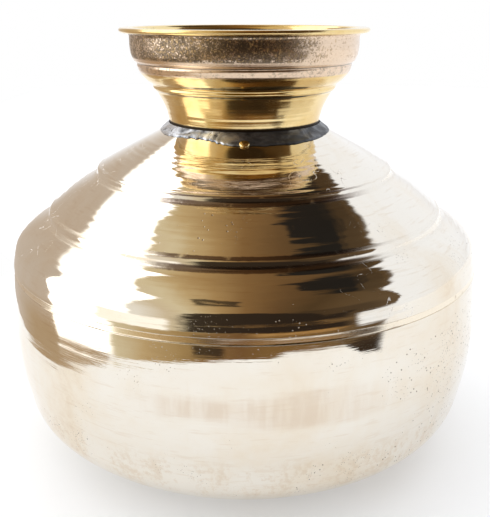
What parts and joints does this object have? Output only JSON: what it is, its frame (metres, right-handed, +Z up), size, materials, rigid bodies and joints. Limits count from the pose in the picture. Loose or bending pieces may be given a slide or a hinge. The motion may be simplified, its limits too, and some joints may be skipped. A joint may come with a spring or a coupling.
{
  "type": "brass kalash pot",
  "caption": "Wide polished brass water pot with a stepped shoulder, a flared cast neck with a rolled lip, and a soldered, riveted neck joint.",
  "frame": {"origin": "centre of the flat underside that the pot stands on", "axes": "+Z up along the pot's axis, -Y towards the front rivet at the foot of the neck"},
  "size_m": [0.3298, 0.3298, 0.292],
  "materials": {
    "body_brass": "polished, with turning lines, pits and scratches",
    "seam_brass": "braze filed flush and polished over",
    "neck_brass": "turned casting, polished below and dark with patina above",
    "neck_solder": "dull grey solder, smeared by hand",
    "rivet_brass": "polished domed head"
  },
  "bodies": {
    "root": {"base_bowl": "body_brass", "shoulder_shell": "body_brass", "body_seam_bead": "seam_brass", "neck_collar": "neck_brass", "neck_solder_ring": "neck_solder", "neck_rivet_front": "rivet_brass", "neck_rivet_right": "rivet_brass", "neck_rivet_left": "rivet_brass"}
  },
  "joints": []
}
